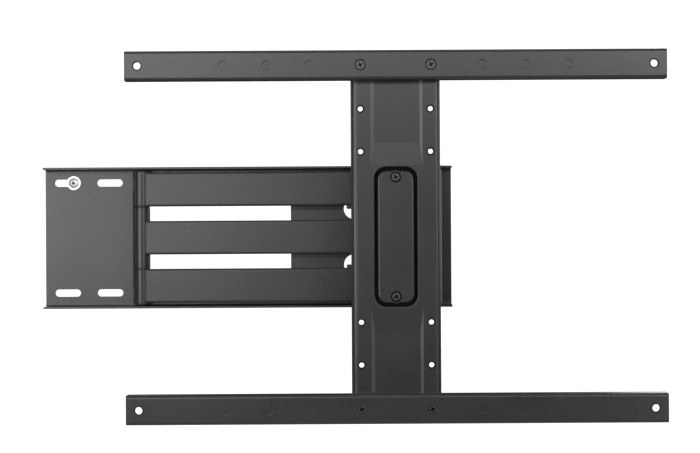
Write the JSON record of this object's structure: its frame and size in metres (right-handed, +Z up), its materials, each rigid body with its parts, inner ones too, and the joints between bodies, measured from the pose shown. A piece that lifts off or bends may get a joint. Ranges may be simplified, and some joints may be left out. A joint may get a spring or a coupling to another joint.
{
  "type": "tv wall mount",
  "caption": "Full-motion TV wall mount: slotted wall tray, folding arms, swivel and tilt head, upright plate and two cross rails that bolt to the back of a screen.",
  "frame": {"origin": "on the wall, at the centre of the wall-bolt pattern on the wall plate's back face", "axes": "+X to the right as seen from the room, +Y into the wall, +Z up; the screen faces -Y"},
  "size_m": [0.7425, 0.1683, 0.4346],
  "materials": {
    "black_paint": "satin",
    "dark_fastener": "satin",
    "black_plastic": "matte",
    "zinc_screw": "satin"
  },
  "bodies": {
    "wall_side": {"wall_plate": "black_paint", "wall_pivot_pin": "dark_fastener", "wall_pivot_ring": "dark_fastener", "wall_pivot_washers": "black_plastic", "wall_washer": "zinc_screw", "wall_screw": "zinc_screw"},
    "rear_arm": {"rear_bar": "black_paint", "rear_wall_barrel": "black_paint", "rear_elbow_barrel": "black_paint", "rear_gussets": "black_paint"},
    "front_arm": {"front_bar_top": "black_paint", "front_bar_bottom": "black_paint", "front_knuckle_top": "black_paint", "front_knuckle_bottom": "black_paint", "elbow_washers": "black_plastic", "elbow_pin": "dark_fastener", "elbow_caps": "black_plastic", "front_end_caps": "black_plastic", "front_strips": "black_paint", "head_bracket": "black_paint", "head_pin": "dark_fastener", "head_nut": "dark_fastener", "head_washers": "black_plastic"},
    "swivel_head": {"swivel_yoke": "black_paint", "tilt_bolt": "dark_fastener", "tilt_nut": "dark_fastener", "tilt_washers": "black_plastic", "lock_bolt": "dark_fastener", "lock_nut": "dark_fastener"},
    "screen_frame": {"tilt_bracket": "black_paint", "upright_plate": "black_paint", "pivot_cover": "black_paint", "cover_screws": "dark_fastener", "cover_nuts": "dark_fastener", "top_rail": "black_paint", "bottom_rail": "black_paint", "rail_screws": "dark_fastener", "rail_spacers": "dark_fastener", "rail_nuts": "dark_fastener"}
  },
  "joints": [
    {"name": "wall_pivot", "type": "hinge", "parent": "wall_side", "child": "rear_arm", "pos_m": [0.2265, -0.016, 0], "axis": [0, 0, 1], "range_deg": [0, 90]},
    {"name": "elbow", "type": "hinge", "parent": "rear_arm", "child": "front_arm", "pos_m": [-0.1295, -0.016, 0], "axis": [0, 0, 1], "range_deg": [-180, 0]},
    {"name": "swivel", "type": "hinge", "parent": "front_arm", "child": "swivel_head", "pos_m": [0.1785, -0.042, 0], "axis": [0, 0, 1], "range_deg": [-30, 30]},
    {"name": "tilt", "type": "hinge", "parent": "swivel_head", "child": "screen_frame", "pos_m": [0.1785, -0.066, 0], "axis": [1, 0, 0], "range_deg": [-5, 10]}
  ]
}
